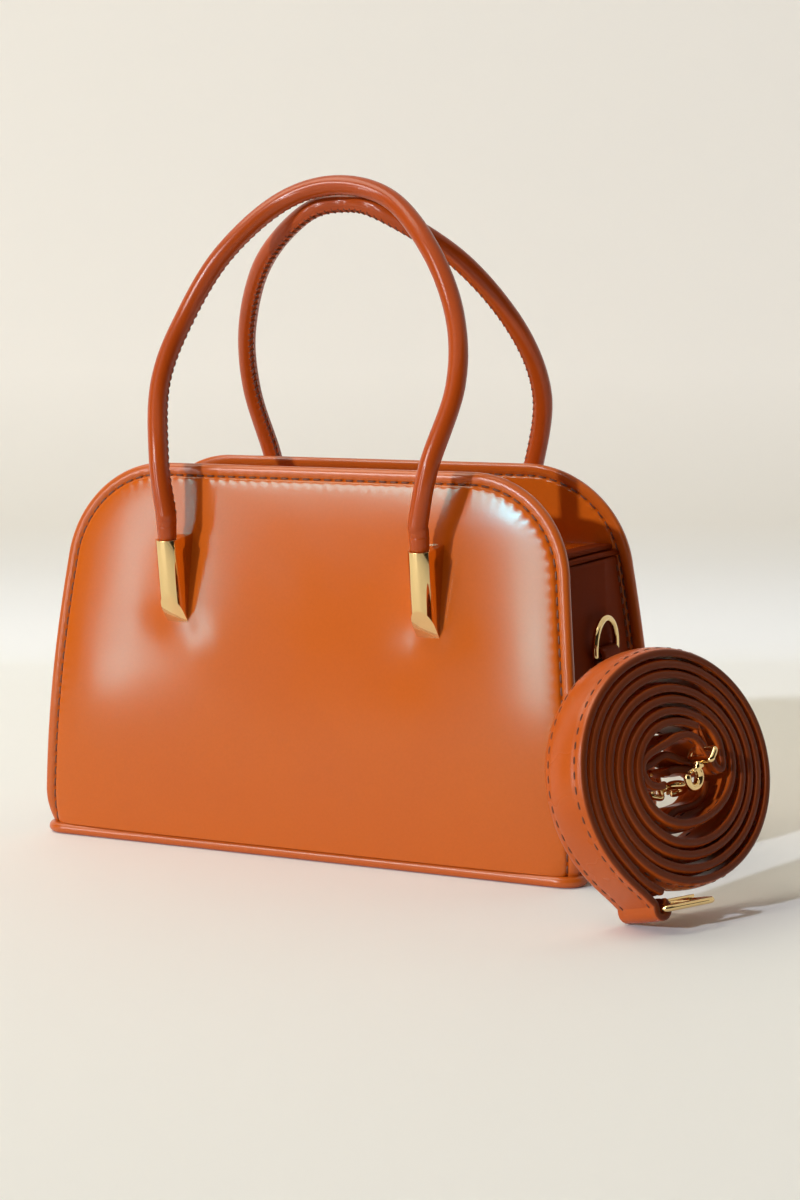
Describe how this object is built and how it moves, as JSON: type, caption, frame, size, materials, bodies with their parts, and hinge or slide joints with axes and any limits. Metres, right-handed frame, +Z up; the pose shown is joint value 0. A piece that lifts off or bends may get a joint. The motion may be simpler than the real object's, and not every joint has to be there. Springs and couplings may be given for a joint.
{
  "type": "top handle bag",
  "caption": "Structured top handle bag with two tube handles, a sunk zip closure, side rings and a rolled detachable shoulder strap with buckle and snap hooks.",
  "frame": {"origin": "middle of the base, on the surface the bag stands on", "axes": "+X along the bag toward the end with the rolled strap, front faces -Y, +Z up"},
  "size_m": [0.3231, 0.1706, 0.2795],
  "materials": {
    "cognac_leather": "smooth, semi-gloss",
    "edge_leather": "smooth, semi-gloss",
    "gold_metal": "polished pale gold",
    "zip_cloth": "woven, matt",
    "lining_cloth": "woven, matt",
    "stiffener": "pressed board, matt"
  },
  "bodies": {
    "bag": {"front_panel": "cognac_leather", "back_panel": "cognac_leather", "front_edge_bead": "cognac_leather", "back_edge_bead": "cognac_leather", "front_board": "stiffener", "back_board": "stiffener", "front_base_piping": "cognac_leather", "back_base_piping": "cognac_leather", "base_panel": "edge_leather", "base_board": "stiffener", "left_gusset": "edge_leather", "right_gusset": "edge_leather", "lining": "lining_cloth", "front_left_lug": "gold_metal", "front_right_lug": "gold_metal", "back_left_lug": "gold_metal", "back_right_lug": "gold_metal", "lug_screws": "gold_metal", "lug_washers": "gold_metal", "left_ring_tab": "edge_leather", "right_ring_tab": "edge_leather", "left_zip_end": "edge_leather", "right_zip_end": "edge_leather"},
    "front_flap": {"front_zip_flap": "cognac_leather", "front_zip_tape": "zip_cloth", "front_zip_teeth": "gold_metal"},
    "back_flap": {"back_zip_flap": "cognac_leather", "back_zip_tape": "zip_cloth", "back_zip_teeth": "gold_metal"},
    "slider": {"zip_slider": "gold_metal"},
    "pull": {"zip_pull": "gold_metal"},
    "front_handle": {"front_handle_skin": "cognac_leather", "front_handle_core": "stiffener", "front_handle_roots": "edge_leather"},
    "back_handle": {"back_handle_skin": "cognac_leather", "back_handle_core": "stiffener", "back_handle_roots": "edge_leather"},
    "left_side_ring": {"left_ring": "gold_metal"},
    "right_side_ring": {"right_ring": "gold_metal"},
    "strap": {"strap_outer_strand": "cognac_leather", "strap_inner_strand": "cognac_leather", "buckle_frame": "gold_metal", "upper_hook_eye": "gold_metal", "lower_hook_eye": "gold_metal"},
    "prong": {"buckle_prong": "gold_metal"},
    "upper_hook": {"upper_hook_body": "gold_metal"},
    "upper_gate": {"upper_hook_gate": "gold_metal"},
    "lower_hook": {"lower_hook_body": "gold_metal"},
    "lower_gate": {"lower_hook_gate": "gold_metal"}
  },
  "joints": [
    {"name": "front_handle_lean", "type": "hinge", "parent": "bag", "child": "front_handle", "pos_m": [0, -0.0485, 0.132], "axis": [1, 0, 0], "range_deg": [0, 40]},
    {"name": "back_handle_lean", "type": "hinge", "parent": "bag", "child": "back_handle", "pos_m": [0, 0.0485, 0.132], "axis": [-1, 0, 0], "range_deg": [0, 40]},
    {"name": "front_flap_lift", "type": "hinge", "parent": "bag", "child": "front_flap", "pos_m": [0, -0.03154, 0.1267], "axis": [1, 0, 0], "range_deg": [0, 35]},
    {"name": "back_flap_lift", "type": "hinge", "parent": "bag", "child": "back_flap", "pos_m": [0, 0.03154, 0.1267], "axis": [-1, 0, 0], "range_deg": [0, 35]},
    {"name": "zip_slide", "type": "slide", "parent": "front_flap", "child": "slider", "axis": [1, 0, 0], "range_m": [0, 0.16]},
    {"name": "zip_pull_swing", "type": "hinge", "parent": "slider", "child": "pull", "pos_m": [-0.08521, 0, 0.1315], "axis": [0, -1, 0], "range_deg": [0, 170]},
    {"name": "left_ring_swing", "type": "hinge", "parent": "bag", "child": "left_side_ring", "pos_m": [-0.1176, 0, 0.087], "axis": [0, -1, 0], "range_deg": [-6, 95]},
    {"name": "right_ring_swing", "type": "hinge", "parent": "bag", "child": "right_side_ring", "pos_m": [0.1176, 0, 0.087], "axis": [0, 1, 0], "range_deg": [-6, 95]},
    {"name": "strap_lift", "type": "slide", "parent": "bag", "child": "strap", "axis": [0, 0, 1], "range_m": [0, 0.15]},
    {"name": "prong_lift", "type": "hinge", "parent": "strap", "child": "prong", "pos_m": [0.16862, -0.08942, 0.00687], "axis": [0.8611, -0.4406, 0.2538], "range_deg": [0, 6]},
    {"name": "upper_hook_swivel", "type": "hinge", "parent": "strap", "child": "upper_hook", "pos_m": [0.17703, -0.05609, 0.06183], "axis": [-0.1025, -0.6392, -0.7622], "range_deg": [-20, 20]},
    {"name": "upper_gate_press", "type": "hinge", "parent": "upper_hook", "child": "upper_gate", "pos_m": [0.17513, -0.06371, 0.05504], "axis": [0.8611, -0.4406, 0.2538], "range_deg": [0, 25]},
    {"name": "lower_hook_swivel", "type": "hinge", "parent": "strap", "child": "lower_hook", "pos_m": [0.16071, -0.06852, 0.04913], "axis": [0.4976, 0.8329, -0.2422], "range_deg": [-20, 20]},
    {"name": "lower_gate_press", "type": "hinge", "parent": "lower_hook", "child": "lower_gate", "pos_m": [0.16598, -0.06056, 0.04505], "axis": [0.8611, -0.4406, 0.2538], "range_deg": [0, 25]}
  ],
  "couplings": [
    {"joint": "back_flap_lift", "follows": "front_flap_lift", "ratio": 1}
  ]
}
